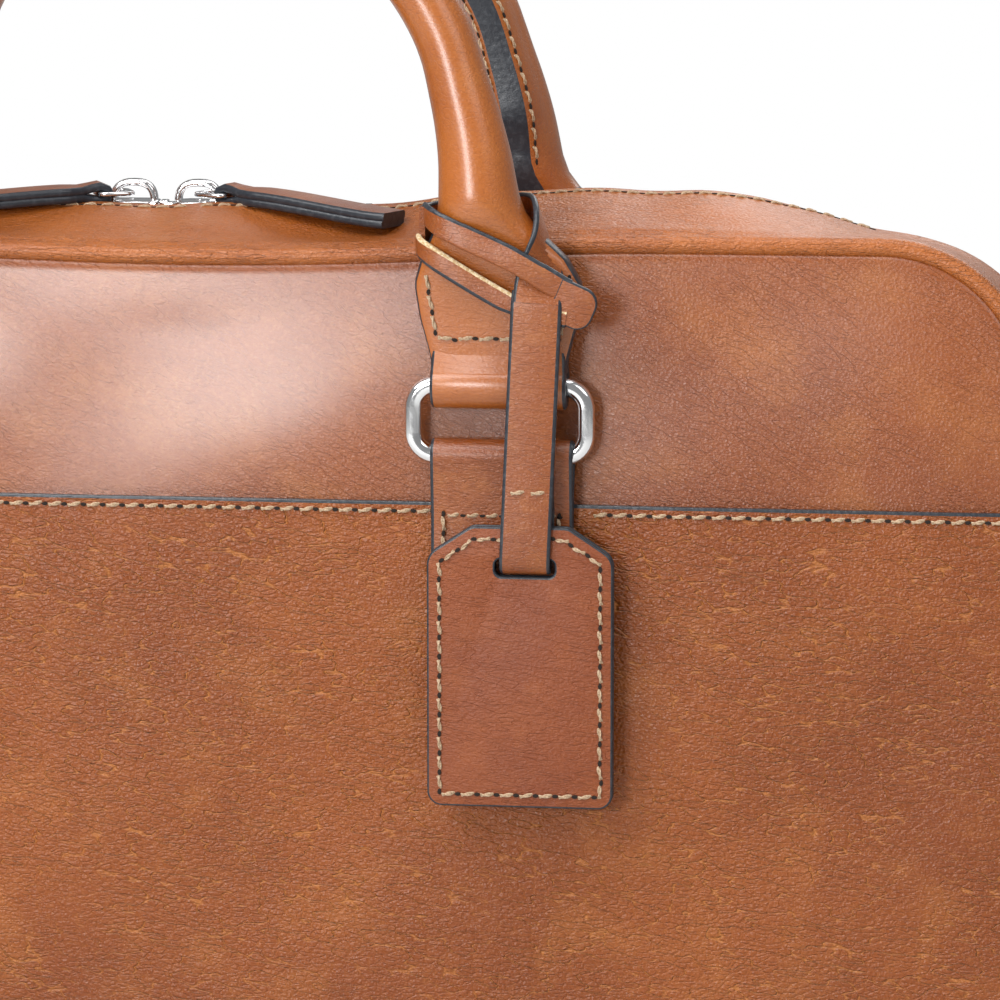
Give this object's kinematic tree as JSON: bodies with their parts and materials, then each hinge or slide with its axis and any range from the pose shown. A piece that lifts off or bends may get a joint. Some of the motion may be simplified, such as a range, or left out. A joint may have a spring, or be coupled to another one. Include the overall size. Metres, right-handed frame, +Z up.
{
  "type": "leather briefcase",
  "caption": "Zip-top leather briefcase with two rolled handles on metal rings, two-way zip, padded computer sleeve and a hanging luggage tag.",
  "frame": {"origin": "middle of the base's underside", "axes": "+Z up, +X along the bag's width to the right seen from the front, -Y towards the front"},
  "size_m": [0.4146, 0.1101, 0.3877],
  "materials": {
    "tan_leather": "smooth vegetable-tanned cowhide with a light grain",
    "painted_edge_leather": "cowhide with dark painted edges",
    "polished_nickel": "polished nickel plate",
    "lining_cloth": "woven cotton twill",
    "fibre_board": "pressed fibre stiffener",
    "zip_tape": "woven polyester tape",
    "card": "plain card",
    "clear_film": "clear film"
  },
  "bodies": {
    "bag": {"front_upper_panel": "tan_leather", "front_lower_panel": "painted_edge_leather", "back_upper_panel": "tan_leather", "back_lower_panel": "painted_edge_leather", "base_gusset": "tan_leather", "side_gusset_left": "tan_leather", "side_gusset_right": "tan_leather", "front_board": "fibre_board", "back_board": "fibre_board", "base_board": "fibre_board", "front_lining": "lining_cloth", "back_lining": "lining_cloth", "gusset_lining": "lining_cloth", "laptop_divider": "lining_cloth", "laptop_strap": "lining_cloth", "organiser_pocket": "lining_cloth", "chape_front_left": "painted_edge_leather", "chape_front_right": "painted_edge_leather", "chape_back_left": "painted_edge_leather", "chape_back_right": "painted_edge_leather"},
    "front_rings": {"handle_ring_front_left": "polished_nickel", "handle_ring_front_right": "polished_nickel"},
    "back_rings": {"handle_ring_back_left": "polished_nickel", "handle_ring_back_right": "polished_nickel"},
    "front_handle": {"front_handle_cover": "painted_edge_leather", "front_handle_core": "lining_cloth", "tag_strap_noose": "painted_edge_leather"},
    "back_handle": {"back_handle_cover": "painted_edge_leather", "back_handle_core": "lining_cloth"},
    "hanging_strap": {"tag_strap": "painted_edge_leather"},
    "luggage_tag": {"tag_front_leaf": "painted_edge_leather", "tag_back_leaf": "painted_edge_leather", "tag_window": "clear_film", "address_card": "card"},
    "front_flap": {"front_zip_gusset": "tan_leather", "front_zip_tape": "zip_tape", "front_zip_teeth": "polished_nickel"},
    "back_flap": {"back_zip_gusset": "tan_leather", "back_zip_tape": "zip_tape", "back_zip_teeth": "polished_nickel"},
    "left_slider": {"zip_slider_left": "polished_nickel"},
    "right_slider": {"zip_slider_right": "polished_nickel"},
    "left_link": {"pull_link_left": "polished_nickel"},
    "right_link": {"pull_link_right": "polished_nickel"},
    "left_pull": {"pull_tab_left": "painted_edge_leather"},
    "right_pull": {"pull_tab_right": "painted_edge_leather"}
  },
  "joints": [
    {"name": "front_ring_swing", "type": "hinge", "parent": "bag", "child": "front_rings", "pos_m": [0, -0.04534, 0.2362], "axis": [1, 0, 0], "range_deg": [0, 60.1]},
    {"name": "front_handle_swing", "type": "hinge", "parent": "front_rings", "child": "front_handle", "pos_m": [0, -0.04534, 0.2529], "axis": [1, 0, 0], "range_deg": [0, 90]},
    {"name": "tag_strap_swing", "type": "hinge", "parent": "front_handle", "child": "hanging_strap", "pos_m": [0.0862, -0.0525, 0.279], "axis": [1, 0, 0], "range_deg": [-150.1, 0]},
    {"name": "tag_swing", "type": "hinge", "parent": "hanging_strap", "child": "luggage_tag", "pos_m": [0.0862, -0.0512, 0.232], "axis": [-1, 0, 0], "range_deg": [0, 60], "deforming": ["tag_strap"]},
    {"name": "back_ring_swing", "type": "hinge", "parent": "bag", "child": "back_rings", "pos_m": [0, 0.04534, 0.2362], "axis": [-1, 0, 0], "range_deg": [0, 60.1]},
    {"name": "back_handle_swing", "type": "hinge", "parent": "back_rings", "child": "back_handle", "pos_m": [0, 0.04534, 0.2529], "axis": [-1, 0, 0], "range_deg": [0, 90]},
    {"name": "mouth_front", "type": "hinge", "parent": "bag", "child": "front_flap", "pos_m": [0, -0.035, 0.285], "axis": [1, 0, 0], "range_deg": [0, 58], "deforming": ["front_zip_gusset", "front_zip_tape", "front_zip_teeth"]},
    {"name": "mouth_back", "type": "hinge", "parent": "bag", "child": "back_flap", "pos_m": [0, 0.035, 0.285], "axis": [-1, 0, 0], "range_deg": [0, 58], "deforming": ["back_zip_gusset", "back_zip_tape", "back_zip_teeth"]},
    {"name": "left_slider_run", "type": "slide", "parent": "bag", "child": "left_slider", "axis": [-1, 0, 0], "range_m": [0, 0.138]},
    {"name": "left_link_swing", "type": "hinge", "parent": "left_slider", "child": "left_link", "pos_m": [-0.0177, 0, 0.2925], "axis": [-0.4067, 0.9135, 0], "range_deg": [0, 100]},
    {"name": "left_pull_swing", "type": "hinge", "parent": "left_link", "child": "left_pull", "pos_m": [-0.02501, -0.00325, 0.2925], "axis": [-0.4067, 0.9135, 0], "range_deg": [0, 60]},
    {"name": "right_slider_run", "type": "slide", "parent": "bag", "child": "right_slider", "axis": [1, 0, 0], "range_m": [0, 0.138]},
    {"name": "right_link_swing", "type": "hinge", "parent": "right_slider", "child": "right_link", "pos_m": [0.0007, 0, 0.2925], "axis": [-0.4067, -0.9135, 0], "range_deg": [0, 100]},
    {"name": "right_pull_swing", "type": "hinge", "parent": "right_link", "child": "right_pull", "pos_m": [0.00801, -0.00325, 0.2925], "axis": [-0.4067, -0.9135, 0], "range_deg": [0, 60]}
  ],
  "couplings": [
    {"joint": "front_ring_swing", "follows": "front_handle_swing", "ratio": 0.6667},
    {"joint": "tag_strap_swing", "follows": "front_handle_swing", "ratio": -1.6667},
    {"joint": "back_ring_swing", "follows": "back_handle_swing", "ratio": 0.6667},
    {"joint": "mouth_back", "follows": "mouth_front", "ratio": 1},
    {"joint": "left_slider_run", "follows": "mouth_front", "m_per_rad": 0.13631},
    {"joint": "right_slider_run", "follows": "mouth_front", "m_per_rad": 0.13631}
  ]
}
